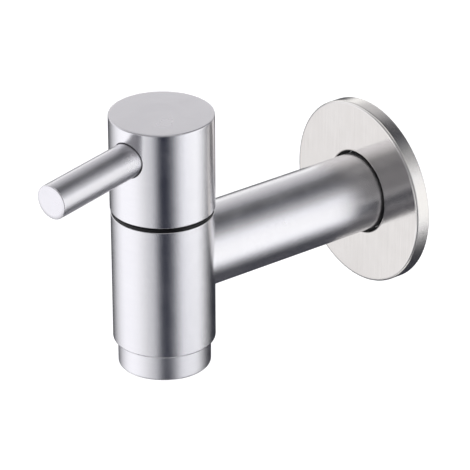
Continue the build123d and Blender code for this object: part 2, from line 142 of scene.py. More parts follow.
@dataclass(frozen=True)
class BrushedStainless:
    """Stainless steel, ground with a belt or pad.

    The belt leaves fine parallel scratches, so reflections are soft along one way and crisp along the other.
    """

    name: str
    colour: str
    dark_colour: str
    roughness: float
    grain: Grain
    scratch_mm: float
    scratch_depth_mm: float
    anisotropy: float = 0.4
    patch_mm: float = 9.0
    patch_share: float = 0.5
    roughness_spread: float = 0.05
    turn_deg: float = 0.0
    detail: float = 3.0
    scratch_contrast: float = 0.65

    def material(self) -> bpy.types.Material:
        """Builds the material.

        Returns:
            The material, under the finish's name.
        """
        material, tree = empty_material(self.name)
        place = add_node(tree, "ShaderNodeTexCoord")
        turned = add_node(
            tree,
            "ShaderNodeMapping",
            {"Vector": place.outputs["Object"], "Rotation": (0.0, 0.0, -math.radians(self.turn_deg))},
        )
        stretched = add_node(
            tree, "ShaderNodeMapping", {"Vector": turned.outputs[0], "Scale": self.grain.value}
        )
        scratches = add_node(
            tree,
            "ShaderNodeTexNoise",
            {
                "Vector": stretched.outputs[0],
                "Scale": 1 / (self.scratch_mm * MM),
                "Detail": self.detail,
                "Roughness": self.scratch_contrast,
            },
        )
        patches = add_node(
            tree,
            "ShaderNodeTexNoise",
            {"Vector": turned.outputs[0], "Scale": 1 / (self.patch_mm * MM), "Detail": self.detail},
        )
        mottle = add_node(
            tree,
            "ShaderNodeMix",
            {"Factor": self.patch_share, "A": scratches.outputs[0], "B": patches.outputs[0]},
            data_type="FLOAT",
        )
        shade = add_node(
            tree,
            "ShaderNodeMix",
            {"Factor": mottle.outputs[0], "A": linear(self.dark_colour), "B": linear(self.colour)},
            data_type="RGBA",
        )
        rough = add_node(
            tree,
            "ShaderNodeMapRange",
            {
                "Value": patches.outputs[0],
                "To Min": self.roughness - self.roughness_spread,
                "To Max": self.roughness + self.roughness_spread,
            },
        )
        bump = add_node(
            tree,
            "ShaderNodeBump",
            {"Height": scratches.outputs[0], "Strength": 1.0, "Distance": self.scratch_depth_mm * MM},
        )
        tangent = add_node(tree, "ShaderNodeTangent", direction_type="UV_MAP", uv_map=BRUSH_MAP)
        shader = add_node(
            tree,
            "ShaderNodeBsdfPrincipled",
            {
                "Base Color": shade.outputs["Result"],
                "Metallic": 1.0,
                "Roughness": rough.outputs[0],
                "Anisotropic": self.anisotropy,
                "Normal": bump.outputs[0],
                "Tangent": tangent.outputs[0],
            },
        )
        add_node(tree, "ShaderNodeOutputMaterial", {"Surface": shader.outputs[0]})
        return material


@dataclass(frozen=True)
class TurnedMetal:
    """Metal cut on a lathe and left bare, such as the brass and steel inside: fine even tool marks.

    A real tool moves about 0.1 mm a turn. The marks are drawn about 1.6 mm apart, so that they show.
    """

    name: str
    colour: str
    dark_colour: str
    roughness: float
    feed_mm: float = 1.5708
    mark_depth_mm: float = 0.002
    wobble: float = 0.6
    mark_detail: float = 2.0
    stain_mm: float = 4.0
    stain_detail: float = 4.0
    roughness_spread: float = 0.08

    def material(self) -> bpy.types.Material:
        """Builds the material.

        Returns:
            The material, under the finish's name.
        """
        material, tree = empty_material(self.name)
        place = add_node(tree, "ShaderNodeTexCoord")
        marks = add_node(
            tree,
            "ShaderNodeTexWave",
            {
                "Vector": place.outputs["Object"],
                "Scale": 2 * math.pi / (WAVE_RADIANS * self.feed_mm * MM),
                "Distortion": self.wobble,
                "Detail": self.mark_detail,
            },
            bands_direction="Z",
        )
        stains = add_node(
            tree,
            "ShaderNodeTexNoise",
            {
                "Vector": place.outputs["Object"],
                "Scale": 1 / (self.stain_mm * MM),
                "Detail": self.stain_detail,
            },
        )
        shade = add_node(
            tree,
            "ShaderNodeMix",
            {"Factor": stains.outputs[0], "A": linear(self.dark_colour), "B": linear(self.colour)},
            data_type="RGBA",
        )
        rough = add_node(
            tree,
            "ShaderNodeMapRange",
            {
                "Value": stains.outputs[0],
                "To Min": self.roughness + self.roughness_spread,
                "To Max": self.roughness - self.roughness_spread,
            },
        )
        bump = add_node(
            tree,
            "ShaderNodeBump",
            {"Height": marks.outputs[1], "Strength": 1.0, "Distance": self.mark_depth_mm * MM},
        )
        shader = add_node(
            tree,
            "ShaderNodeBsdfPrincipled",
            {
                "Base Color": shade.outputs["Result"],
                "Metallic": 1.0,
                "Roughness": rough.outputs[0],
                "Normal": bump.outputs[0],
            },
        )
        add_node(tree, "ShaderNodeOutputMaterial", {"Surface": shader.outputs[0]})
        return material


@dataclass(frozen=True)
class MouldedPolymer:
    """Acetal, nitrile rubber or pressed ceramic: an even body colour under a faint grain."""

    name: str
    colour: str
    dark_colour: str
    roughness: float
    ior: float
    grain_mm: float = 0.4
    grain_depth_mm: float = 0.004
    grain_detail: float = 2.0
    roughness_spread: float = 0.05

    def material(self) -> bpy.types.Material:
        """Builds the material.

        Returns:
            The material, under the finish's name.
        """
        material, tree = empty_material(self.name)
        place = add_node(tree, "ShaderNodeTexCoord")
        grain = add_node(
            tree,
            "ShaderNodeTexNoise",
            {
                "Vector": place.outputs["Object"],
                "Scale": 1 / (self.grain_mm * MM),
                "Detail": self.grain_detail,
            },
        )
        shade = add_node(
            tree,
            "ShaderNodeMix",
            {"Factor": grain.outputs[0], "A": linear(self.dark_colour), "B": linear(self.colour)},
            data_type="RGBA",
        )
        rough = add_node(
            tree,
            "ShaderNodeMapRange",
            {
                "Value": grain.outputs[0],
                "To Min": self.roughness - self.roughness_spread,
                "To Max": self.roughness + self.roughness_spread,
            },
        )
        bump = add_node(
            tree,
            "ShaderNodeBump",
            {"Height": grain.outputs[0], "Strength": 1.0, "Distance": self.grain_depth_mm * MM},
        )
        shader = add_node(
            tree,
            "ShaderNodeBsdfPrincipled",
            {
                "Base Color": shade.outputs["Result"],
                "Metallic": 0.0,
                "Roughness": rough.outputs[0],
                "IOR": self.ior,
                "Normal": bump.outputs[0],
            },
        )
        add_node(tree, "ShaderNodeOutputMaterial", {"Surface": shader.outputs[0]})
        return material


Finish = BrushedStainless | TurnedMetal | MouldedPolymer

# Column: ground round with a belt, so level scratches draw the lights out into upright satin bands. Real
# scratches lie about 0.05 mm apart; they are drawn at 0.3 mm, the finest that shows in the render.
COLUMN_STEEL = BrushedStainless(
    "stainless_ring_brushed", "#EDECEE", "#D9D8DB", 0.24, Grain.LEVEL_RINGS, 0.3, 0.0016
)
# Aerator's ring: ground like the column but more matt, so its bands are softer. Its colour is lighter than
# the column's steel: painted light that lifts its dark bands.
RING_STEEL = BrushedStainless(
    "stainless_ring_matt_painted_lighter", "#F2F1F3", "#DFDEE1", 0.3, Grain.LEVEL_RINGS, 0.3, 0.0016, 0.0
)
# Cap: ground with a finer belt than the column, so its bands are a little crisper.
CAP_STEEL = BrushedStainless(
    "stainless_ring_satin", "#EDECEE", "#DAD9DC", 0.22, Grain.LEVEL_RINGS, 0.3, 0.0003
)
# Cap's top: faced flat, with no visible direction, which gives an even soft grey.
TOP_STEEL = BrushedStainless("stainless_top_faced", "#E6E4E7", "#CBCACD", 0.26, Grain.EVEN, 0.3, 0.0003, 0.0)
# Lever's end: faced the same way, and a little brighter.
FACED_STEEL = BrushedStainless(
    "stainless_faced", "#EEECEF", "#D2D1D4", 0.26, Grain.EVEN, 0.3, 0.0003, anisotropy=0.0
)
# Lever: bar brushed round, with the deepest scratches of all, which soften its highlights.
LEVER_STEEL = BrushedStainless(
    "stainless_bar_brushed",
    "#E8E7EA",
    "#D6D5D8",
    0.29,
    Grain.RINGS_ALONG_Y,
    0.3,
    0.003,
    anisotropy=0.3,
    turn_deg=12.3,
)
# Arm: drawn tube, buffed round with a fine wheel: highlights run out softly along it and stay crisp round it.
ARM_STEEL = BrushedStainless(
    "stainless_tube_buffed", "#ECEBED", "#DDDCDF", 0.25, Grain.RINGS_ALONG_Y, 0.4, 0.0002, 0.76
)
# Cover: sheet with a straight upright brushing, buffed enough to mirror the arm. Its colour is warmer and a
# little darker than the other steel: a painted warm reflection, spread evenly over the face.
COVER_STEEL = BrushedStainless(
    "stainless_sheet_brushed_painted_warm", "#E3E0DC", "#C8C4BF", 0.13, Grain.UPRIGHT_LINES, 0.5, 0.0003, anisotropy=0.3
)
# Cover's rim and back: trimmed on a lathe, so marks run round it and the lights blur across them.
COVER_RIM_STEEL = BrushedStainless(
    "stainless_rim_turned", "#E4E2DF", "#D4D1CD", 0.22, Grain.RINGS_ALONG_Y, 0.4, 0.0008
)
# Nipple: stainless bar as it comes off the lathe, greyer and duller than the brushed pieces.
NIPPLE_STEEL = TurnedMetal("stainless_turned", "#C9C9CC", "#B4B4B8", 0.32)
# Stop ring, clip and stud: hardened steel under oil, which looks dark grey.
SPRING_STEEL = TurnedMetal("spring_steel_oiled", "#8A8A8E", "#6E6E74", 0.38)
# Valve parts, hub and outlet bush: turned brass, warm yellow with soft highlights.
HEAD_BRASS = TurnedMetal("brass_turned", "#DDBE78", "#C4A25A", 0.3)
# Aerator's screens: woven stainless wire, which scatters light to a dull pale grey.
SCREEN_STEEL = TurnedMetal("stainless_screen_woven", "#B9BABD", "#9C9DA1", 0.4)
# Joint ring: black acetal from a mould, with a satin sheen. Its colour is darker than black acetal itself:
# painted shade for the shadow in the gap between the cap and the column.
ACETAL_WITH_GAP_SHADE = MouldedPolymer("acetal_black_painted_gap_shade", "#09090C", "#050507", 0.4, 1.36)
# Aerator's insert and grid, and the thrust washer: milky white acetal with a satin sheen.
INSERT_ACETAL = MouldedPolymer("acetal_white_moulded", "#E9E9E4", "#DEDED8", 0.4, 1.48)
# Seals: black nitrile rubber, matt.
SEAL_RUBBER = MouldedPolymer("nitrile_rubber_moulded", "#1B1B1C", "#111112", 0.62, 1.52)
# Valve discs: lapped alumina, cream and close to a gloss.
DISC_CERAMIC = MouldedPolymer("alumina_lapped", "#F0ECE2", "#E6E1D5", 0.12, 1.76, 0.2, 0.0005)


@dataclass(frozen=True)
class Corner:
    """A corner of a turned outline, in metres. Its finish is the material slot of the run that follows it."""

    radius: float
    height: float
    rounding: float = 0.0
    finish: int = 0


def rounded_outline(
    corners: list[Corner], support: float = 0.4 * MM, steps: int = 5
) -> list[tuple[float, float, int]]:
    """Rounds an outline's corners and adds rings beside them that keep long faces true.

    Args:
        corners: the outline's corners, in order.
        support: how far from a corner the extra ring stands.
        steps: how many faces make a rounded corner.

    Returns:
        Points as (radius, height, finish).
    """
    points: list[tuple[float, float, int]] = []
    for i, corner in enumerate(corners):
        here = Vector((corner.radius, corner.height))
        next_one = corners[(i + 1) % len(corners)]
        into = Vector((corners[i - 1].radius, corners[i - 1].height)) - here
        out = Vector((next_one.radius, next_one.height)) - here
        if corner.rounding and into.length and out.length:
            start = here + into.normalized() * corner.rounding
            end = here + out.normalized() * corner.rounding
            long_run = 3 * (support + corner.rounding)
            if into.length > long_run:
                points.append((*(start + into.normalized() * support), corners[i - 1].finish))
            for k in range(steps + 1):
                t = k / steps
                bend = start * (1 - t) ** 2 + here * 2 * t * (1 - t) + end * t**2
                points.append((*bend, corner.finish))
            if out.length > long_run:
                points.append((*(end + out.normalized() * support), corner.finish))
        else:
            points.append((*here, corner.finish))
    return points


def mesh_object(name: str, verts: list, faces: list, finishes: list[int], maps: list) -> bpy.types.Object:
    """Makes a smooth mesh object with a map for the grain's direction.

    Args:
        name: the object's name.
        verts: points in metres.
        faces: tuples of point numbers.
        finishes: the material slot of each face.
        maps: each face's map coordinates, one pair for each corner.

    Returns:
        The object, linked to the scene.
    """
    mesh = bpy.data.meshes.new(name)
    mesh.from_pydata(verts, [], faces)
    mesh.polygons.foreach_set("material_index", finishes)
    layer = mesh.uv_layers.new(name=BRUSH_MAP)
    layer.data.foreach_set("uv", [c for face in maps for pair in face for c in pair])
    mesh.shade_smooth()
    mesh.set_sharp_from_angle(angle=math.radians(CREASE_DEG))
    thing = bpy.data.objects.new(name, mesh)
    bpy.context.scene.collection.objects.link(thing)
    return thing


def turned(name: str, corners: list[Corner], place: Matrix, around: int = 192) -> bpy.types.Object:
    """Turns an outline about an axis, as a lathe does.

    Args:
        name: the object's name.
        corners: the outline's corners; it closes from the last to the first, or along the axis.
        place: carries the lathe's own frame, with its axis on +Z, into the shared frame.
        around: how many faces go round.

    Returns:
        The object.
    """
    points = rounded_outline(corners)
    verts, rings = [], []
    for radius, height, _ in points:
        if radius <= 0:
            rings.append([len(verts)] * around)
            verts.append(place @ Vector((0, 0, height)))
            continue
        rings.append(list(range(len(verts), len(verts) + around)))
        for k in range(around):
            angle = 2 * math.pi * k / around
            verts.append(place @ Vector((radius * math.cos(angle), radius * math.sin(angle), height)))
    points.append(points[0])
    rings.append(rings[0])
    faces, finishes, maps = [], [], []
    length = 0.0
    for j in range(len(rings) - 1):
        run = math.hypot(points[j + 1][0] - points[j][0], points[j + 1][1] - points[j][1])
        for k in range(around):
            n = (k + 1) % around
            loop = [rings[j][k], rings[j][n], rings[j + 1][n], rings[j + 1][k]]
            pairs = [(length, k), (length, k + 1), (length + run, k + 1), (length + run, k)]
            keep = [i for i in range(4) if loop[i] != loop[i - 1]]
            if len(keep) < 3:
                continue
            faces.append(tuple(loop[i] for i in keep))
            maps.append([(pairs[i][0] / MM, pairs[i][1]) for i in keep])
            finishes.append(points[j][2])
        length += run
    return mesh_object(name, verts, faces, finishes, maps)


def ringed_skin(name: str, verts: list, rows: int, around: int) -> bpy.types.Object:
    """Joins rings of points into one closed skin, whose last ring meets the first.

    Args:
        name: the object's name.
        verts: the points in metres, ring after ring.
        rows: how many rings there are.
        around: how many points each ring has.

    Returns:
        The object.
    """
    faces, maps = [], []
    for j in range(rows):
        for k in range(around):
            n, m = (k + 1) % around, (j + 1) % rows
            faces.append((j * around + k, m * around + k, m * around + n, j * around + n))
            maps.append([(j, k), (j + 1, k), (j + 1, k + 1), (j, k + 1)])
    return mesh_object(name, verts, faces, [0] * len(faces), maps)


def upright_axis(x: float, y: float) -> Matrix:
    """The lathe's frame for a piece that stands on the column's axis."""
    return Matrix.Translation((x, y, 0))


def arm_axis() -> Matrix:
    """The lathe's frame for a piece on the arm's axis, with +Z of the lathe along +Y into the wall."""
    return Matrix.Rotation(-math.pi / 2, 4, "X")


class MaterialShelf:
    """Builds each finish's material once."""

    def __init__(self) -> None:
        """Starts with no material."""
        self._made: dict[str, bpy.types.Material] = {}

    def get(self, finish: Finish) -> bpy.types.Material:
        """Gives a finish's material, built when it is first asked for.

        Args:
            finish: the finish.

        Returns:
            Its material.
        """
        if finish.name not in self._made:
            self._made[finish.name] = finish.material()
        return self._made[finish.name]


MATERIALS = MaterialShelf()


def dress(thing: bpy.types.Object, *finishes: Finish) -> None:
    """Gives a piece its materials. Emptying the slots first would set every face to the first one.

    Args:
        thing: the piece.
        finishes: its finishes, in slot order.
    """
    slots = thing.data.materials
    for number, finish in enumerate(finishes):
        if number < len(slots):
            slots[number] = MATERIALS.get(finish)
        else:
            slots.append(MATERIALS.get(finish))


@dataclass
class Column:
    """The upright tube, from the aerator's seat up to the ring under the cap."""

    edge: float = 0.25 * MM
    foot_rounding: float = 0.5 * MM
    wall: float = 2.5 * MM
    ring_width: float = 3.8 * MM
    ring_groove: float = 0.5 * MM
    ring_groove_height: float = 0.5 * MM
    spigot_play: float = 0.05 * MM
    low: Vector = field(default_factory=lambda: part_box("body_shell")[0])
    high: Vector = field(default_factory=lambda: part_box("body_shell")[1])

    @property
    def radius(self) -> float:
        """The column's radius."""
        return (self.high.x - self.low.x) / 2

    @property
    def axis_y(self) -> float:
        """Where the column's axis stands."""
        return (self.high.y + self.low.y) / 2

    def tube(self) -> bpy.types.Object:
        """Turns the column's tube, rounded at its foot.

        Returns:
            The tube.
        """
        inner = self.radius - self.wall
        corners = [
            Corner(inner, self.low.z, self.edge),
            Corner(self.radius, self.low.z, self.foot_rounding),
            Corner(self.radius, self.high.z, self.edge),
            Corner(inner, self.high.z, self.edge),
        ]
        return turned("column_tube", corners, upright_axis(0, self.axis_y))

    def ring(self) -> bpy.types.Object:
        """Turns the black ring, with the groove that parts it from the cap.

        Returns:
            The ring.
        """
        low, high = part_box("slip_ring")
        outer = (high.x - low.x) / 2
        inner = outer - self.ring_width
        spigot = self.radius - self.wall - self.spigot_play
        top = high.z - self.ring_groove_height
        corners = [
            Corner(inner, low.z),
            Corner(spigot, low.z),
            Corner(spigot, self.high.z),
            Corner(outer, self.high.z, self.edge / 2),
            Corner(outer, top, self.edge / 2),
            Corner(outer - self.ring_groove, top),
            Corner(outer - self.ring_groove, high.z),
            Corner(inner, high.z),
        ]
        return turned("joint_ring", corners, upright_axis(0, self.axis_y))

    def build(self) -> None:
        """Makes, dresses and seats the pieces."""
        tube = self.tube()
        dress(tube, COLUMN_STEEL)
        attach(tube, "tap_body")
        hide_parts("body_shell")
        ring = self.ring()
        # The ring's near-black colour is partly painted shade for the gap under the cap.
        dress(ring, ACETAL_WITH_GAP_SHADE)
        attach(ring, "tap_body")
        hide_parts("slip_ring")
        LOG.info("column: radius %.2f mm", self.radius / MM)


@dataclass
class LeverCap:
    """The deep cap and the lever that goes into its side."""

    edge: float = 0.55 * MM
    foot_edge: float = 0.2 * MM
    wall: float = 2.5 * MM
    roof: float = 3.5 * MM
    lever_radius: float = 6.5 * MM
    lever_play: float = 0.35 * MM
    lever_edge: float = 0.35 * MM
    lever_dish: float = 1.3 * MM
    lever_dish_depth: float = 0.2 * MM
    lever_drop: float = 11.0 * MM
    lever_turn_deg: float = 12.3
    lever_droop_deg: float = 2.6
    stud_bore: float = 3.05 * MM
    stud_depth: float = 13 * MM
    cap_around: int = 256
    lever_around: int = 128
    low: Vector = field(default_factory=lambda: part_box("handle_cap")[0])
    high: Vector = field(default_factory=lambda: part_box("handle_cap")[1])

    @property
    def radius(self) -> float:
        """The cap's radius."""
        return (self.high.x - self.low.x) / 2

    @property
    def axis_y(self) -> float:
        """Where the cap's axis stands."""
        return (self.high.y + self.low.y) / 2

    @property
    def lever_way(self) -> Vector:
        """Works out the direction in which the lever points, a little below level.

        Returns:
            The direction, one long.
        """
        turn, droop = math.radians(self.lever_turn_deg), math.radians(self.lever_droop_deg)
        level = math.cos(droop)
        return Vector((math.sin(turn) * level, -math.cos(turn) * level, -math.sin(droop)))

    @property
    def lever_root(self) -> Vector:
        """Where the lever's axis crosses the cap's."""
        return Vector((0, self.axis_y, self.high.z - self.lever_drop))

    def lever_frame(self) -> Matrix:
        """The lathe's frame on the lever's axis, with its zero on the cap's axis."""
        spin = self.lever_way.to_track_quat("Z", "Y").to_matrix().to_4x4()
        return Matrix.Translation(self.lever_root) @ spin

    def lever_ends(self, rod_node: bpy.types.Object) -> tuple[float, float]:
        """Measures how far from the cap's axis the lever starts and ends.

        Args:
            rod_node: the lever's own solid.

        Returns:
            The start and the end in metres.
        """
        reach = [(v.co - self.lever_root).dot(self.lever_way) for v in rod_node.data.vertices]
        return min(reach), max(reach)

    def cap(self) -> bpy.types.Object:
        """Turns the cap and cuts the lever's hole through its wall.

        Returns:
            The cap, with its materials.
        """
        inner = self.radius - self.wall
        corners = [
            Corner(inner, self.low.z, self.foot_edge),
            Corner(self.radius, self.low.z, self.foot_edge),
            Corner(self.radius, self.high.z, self.edge, finish=1),
            Corner(0, self.high.z),
        ]
        under = [Corner(0, self.high.z - self.roof), Corner(inner, self.high.z - self.roof, self.edge)]
        whole = turned("lever_cap", corners + under, upright_axis(0, self.axis_y), self.cap_around)
        dress(whole, CAP_STEEL, TOP_STEEL)
        bit_radius = self.lever_radius + self.lever_play
        outside = 2 * self.radius
        bit_corners = [Corner(0, 0), Corner(bit_radius, 0), Corner(bit_radius, outside), Corner(0, outside)]
        bit = turned("drill", bit_corners, self.lever_frame(), self.lever_around)
        cut = whole.modifiers.new("lever_hole", "BOOLEAN")
        cut.object, cut.operation, cut.solver = bit, "DIFFERENCE", "EXACT"
        bpy.context.view_layer.update()
        drilled = whole.evaluated_get(bpy.context.evaluated_depsgraph_get())
        shaped = bpy.data.meshes.new_from_object(drilled)
        whole.modifiers.clear()
        whole.data = shaped
        shaped.set_sharp_from_angle(angle=math.radians(CREASE_DEG))
        bpy.data.objects.remove(bit)
        return whole

    def lever(self, start: float, end: float) -> bpy.types.Object:
        """Turns the lever, a bar with a chamfered flat end and a hole for its stud.

        Args:
            start: how far from the cap's axis it starts.
            end: how far from the cap's axis it ends.

        Returns:
            The lever.
        """
        corners = [
            Corner(0, start + self.stud_depth),
            Corner(self.stud_bore, start + self.stud_depth),
            Corner(self.stud_bore, start),
            Corner(self.lever_radius, start, self.lever_edge / 2),
            Corner(self.lever_radius, end - self.lever_dish_depth, self.lever_edge, finish=1),
            Corner(self.lever_radius - self.lever_dish, end, self.lever_edge, finish=1),
            Corner(0, end),
        ]
        return turned("lever_bar", corners, self.lever_frame(), self.lever_around)

    def build(self, frame: dict) -> None:
        """Makes, dresses and seats the pieces.
        """
        start, end = self.lever_ends(frame["nodes"]["lever_rod"])
        cap = self.cap()
        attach(cap, "handle")
        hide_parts("handle_cap")
        lever = self.lever(start, end)
        dress(lever, LEVER_STEEL, FACED_STEEL)
        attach(lever, "handle")
        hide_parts("lever_rod")
        LOG.info("lever cap: radius %.2f mm, lever reach %.1f mm", self.radius / MM, end / MM)


@dataclass
class Arm:
    """The level tube, coped to the column at one end and plugged by the nipple at the other."""

    wall: float = 2.5 * MM
    sink: float = 0.05 * MM
    row_shares: tuple[float, ...] = (0.0, 0.01, 0.25, 0.5, 0.75, 0.985, 1.0)
    around: int = 192
    low: Vector = field(default_factory=lambda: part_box("arm_tube")[0])
    high: Vector = field(default_factory=lambda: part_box("arm_tube")[1])

    @property
    def radius(self) -> float:
        """The tube's radius."""
        return (self.high.z - self.low.z) / 2

    def cope(self, x: float, column: Column) -> float:
        """How far along Y the column's face stands at this distance from its middle plane."""
        return column.axis_y + math.sqrt(column.radius**2 - x * x) - self.sink

    def tube(self, column: Column) -> bpy.types.Object:
        """Makes the tube: outer wall from the cope to the wall end, end face, and bore back to the cope.

        Args:
            column: the column that the tube is coped to.

        Returns:
            The tube.
        """
        outline = [(self.radius, s) for s in self.row_shares]
        outline += [(self.radius - self.wall, s) for s in reversed(self.row_shares)]
        verts = []
        for radius, share in outline:
            for k in range(self.around):
                angle = 2 * math.pi * k / self.around
                x, z = radius * math.cos(angle), radius * math.sin(angle)
                start = self.cope(x, column)
                verts.append((x, start + (self.high.y - start) * share, z))
        return ringed_skin("arm_pipe", verts, len(outline), self.around)

    def build(self, column: Column) -> None:
        """Makes, dresses and seats the tube.

        Args:
            column: the column that the tube is coped to.
        """
        tube = self.tube(column)
        dress(tube, ARM_STEEL)
        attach(tube, "tap_body")
        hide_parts("arm_tube")
        LOG.info("arm: radius %.2f mm", self.radius / MM)


@dataclass
class WallCover:
    """The dished round cover against the wall."""

    bevel: float = 1.0 * MM
    hole_round: float = 0.7 * MM
    sheet: float = 1.5 * MM
    gap: float = 1.1 * MM
    collar: float = 3.4 * MM
    collar_setback: float = 0.8 * MM
    groove_depth: float = 0.7 * MM
    groove_half: float = 0.92 * MM
    around: int = 256
    low: Vector = field(default_factory=lambda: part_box("wall_cover")[0])
    high: Vector = field(default_factory=lambda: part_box("wall_cover")[1])

    def dish(self, arm_radius: float) -> bpy.types.Object:
        """Turns the cover: face, rim, hollow back and the collar round its hole.

        Args:
            arm_radius: the radius of the tube that passes through it.

        Returns:
            The cover.
        """
        outer = (self.high.x - self.low.x) / 2
        hole = arm_radius + self.gap
        front, back = self.low.y, self.high.y
        inside = front + self.sheet
        ring = (inside + back - self.collar_setback) / 2
        corners = [
            Corner(hole, ring - self.groove_half, finish=1),
            Corner(hole, front, self.hole_round, finish=0),
            Corner(outer, front, self.bevel, finish=1),
            Corner(outer, back, self.bevel / 3, finish=1),
            Corner(outer - self.sheet, back, finish=1),
            Corner(outer - self.sheet, inside, finish=1),
            Corner(hole + self.collar, inside, finish=1),
            Corner(hole + self.collar, back - self.collar_setback, finish=1),
            Corner(hole, back - self.collar_setback, finish=1),
            Corner(hole, ring + self.groove_half, finish=1),
            Corner(hole + self.groove_depth, ring + self.groove_half, finish=1),
            Corner(hole + self.groove_depth, ring - self.groove_half, finish=1),
        ]
        return turned("cover_dish", corners, arm_axis(), self.around)

    def build(self, arm: Arm) -> None:
        """Makes, dresses and seats the cover.

        Args:
            arm: the tube that passes through the cover.
        """
        dish = self.dish(arm.radius)
        # The cover face's warm tint is a painted reflection.
        dress(dish, COVER_STEEL, COVER_RIM_STEEL)
        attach(dish, "cover")
        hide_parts("wall_cover")
        LOG.info("wall cover: %.1f mm across", (self.high.x - self.low.x) / MM)


@dataclass
class Aerator:
    """The narrow ring under the column."""

    edge: float = 0.6 * MM
    lip: float = 1.0 * MM
    lip_height: float = 2.0 * MM
    neck_radius: float = 13.95 * MM
    bore_radius: float = 12.2 * MM
    sleeve_height: float = 10.15 * MM
    low: Vector = field(default_factory=lambda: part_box("aerator_sleeve")[0])
    high: Vector = field(default_factory=lambda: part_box("aerator_sleeve")[1])

    def sleeve(self, axis_y: float) -> bpy.types.Object:
        """Turns the sleeve with its neck and mouth.

        Args:
            axis_y: where the column's axis stands.

        Returns:
            The sleeve.
        """
        outer = (self.high.x - self.low.x) / 2
        mouth = self.bore_radius - self.lip
        shoulder = self.low.z + self.sleeve_height
        corners = [
            Corner(mouth, self.low.z, self.edge),
            Corner(outer, self.low.z, self.edge),
            Corner(outer, shoulder, self.edge / 4),
            Corner(self.neck_radius, shoulder),
            Corner(self.neck_radius, self.high.z),
            Corner(self.bore_radius, self.high.z),
            Corner(self.bore_radius, self.low.z + self.lip_height),
            Corner(mouth, self.low.z + self.lip_height),
        ]
        return turned("aerator_ring", corners, upright_axis(0, axis_y))

    def build(self, column: Column) -> None:
        """Makes, dresses and seats the sleeve.

        Args:
            column: the column above it, which gives the axis.
        """
        sleeve = self.sleeve(column.axis_y)
        # The aerator's lighter colour is painted light.
        dress(sleeve, RING_STEEL)
        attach(sleeve, "aerator")
        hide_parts("aerator_sleeve")
        LOG.info("aerator: %.1f mm across", (self.high.x - self.low.x) / MM)


@dataclass
class Inlet:
    """The nipple at the wall end of the arm, with its supply thread cut for real."""

    pitch: float = 25.4 * MM / 14
    depth: float = 1.162 * MM
    bore_radius: float = 7.5 * MM
    thread_radius: float = 10.478 * MM
    flat_share: float = 0.08
    chamfer: float = 1.0 * MM
    rows_per_turn: int = 12
    around: int = 96
    low: Vector = field(default_factory=lambda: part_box("inlet_nipple")[0])
    high: Vector = field(default_factory=lambda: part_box("inlet_nipple")[1])

    def crest(self, turn: float) -> float:
        """The thread's height, from 0 at the root to 1 at the crest, at this share of a turn."""
        wave = abs(2 * (turn % 1.0) - 1.0)
        return min(1.0, max(0.0, (wave - self.flat_share) / (1 - 2 * self.flat_share)))

    def nipple(self, arm: Arm) -> bpy.types.Object:
        """Makes the plug, the helical thread and the bore in one skin.

        Args:
            arm: the tube that the nipple plugs.

        Returns:
            The nipple.
        """
        plug = (self.high.x - self.low.x) / 2
        start, end = arm.high.y, self.high.y
        rows = [(plug, self.low.y, False), (plug, start, False)]
        count = int((end - start) / self.pitch * self.rows_per_turn)
        rows += [(self.thread_radius, start + (end - start) * j / count, True) for j in range(count + 1)]
        rows += [(self.bore_radius, end, False), (self.bore_radius, self.low.y, False)]
        verts = []
        for radius, y, threaded in rows:
            for k in range(self.around):
                share = k / self.around
                here = radius
                if threaded and y - start > self.chamfer / 2:
                    run_out = min(1.0, max(0.0, (end - y) / self.chamfer))
                    here -= self.depth * (1 - self.crest(y / self.pitch - share) * run_out)
                angle = 2 * math.pi * share
                verts.append((here * math.cos(angle), y, here * math.sin(angle)))
        return ringed_skin("supply_nipple", verts, len(rows), self.around)

    def build(self, arm: Arm) -> None:
        """Makes, dresses and seats the nipple.

        Args:
            arm: the tube that the nipple plugs.
        """
        nipple = self.nipple(arm)
        dress(nipple, NIPPLE_STEEL)
        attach(nipple, "tap_body")
        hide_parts("inlet_nipple")
        LOG.info("inlet: thread %.1f mm across", 2 * self.thread_radius / MM)


class InnerWorks:
    """The CAD pieces that keep their own shape and only get a finish."""

    FINISHES: dict[str, Finish] = {
        "valve_carrier": HEAD_BRASS,
        "outlet_bush": HEAD_BRASS,
        "headwork_body": HEAD_BRASS,
        "spindle": HEAD_BRASS,
        "handle_hub": HEAD_BRASS,
        "nipple_o_ring": SEAL_RUBBER,
        "headwork_o_ring": SEAL_RUBBER,
        "headwork_seal": SEAL_RUBBER,
        "spindle_o_rings": SEAL_RUBBER,
        "cover_o_ring": SEAL_RUBBER,
        "aerator_washer": SEAL_RUBBER,
        "fixed_disc": DISC_CERAMIC,
        "moving_disc": DISC_CERAMIC,
        "thrust_washer": INSERT_ACETAL,
        "aerator_insert": INSERT_ACETAL,
        "aerator_grid": INSERT_ACETAL,
        "aerator_screens": SCREEN_STEEL,
        "stop_ring": SPRING_STEEL,
        "spindle_clip": SPRING_STEEL,
        "lever_stud": SPRING_STEEL,
    }

    def build(self, frame: dict) -> None:
        """Gives each inner node its finish.
        """
        for node, finish in self.FINISHES.items():
            dress(frame["nodes"][node], finish)
            LOG.info("inner piece %s: %s", node, finish.name)


def facing(bearing_deg: float, rise_deg: float) -> Vector:
    """Finds the direction at a bearing, counted from -Y towards +X, and a rise above the horizon.

    Args:
        bearing_deg: the bearing in degrees.
        rise_deg: the rise in degrees.

    Returns:
        The direction, one long.
    """
    turn, lift = math.radians(bearing_deg), math.radians(rise_deg)
    return Vector((math.sin(turn) * math.cos(lift), -math.cos(turn) * math.cos(lift), math.sin(lift)))


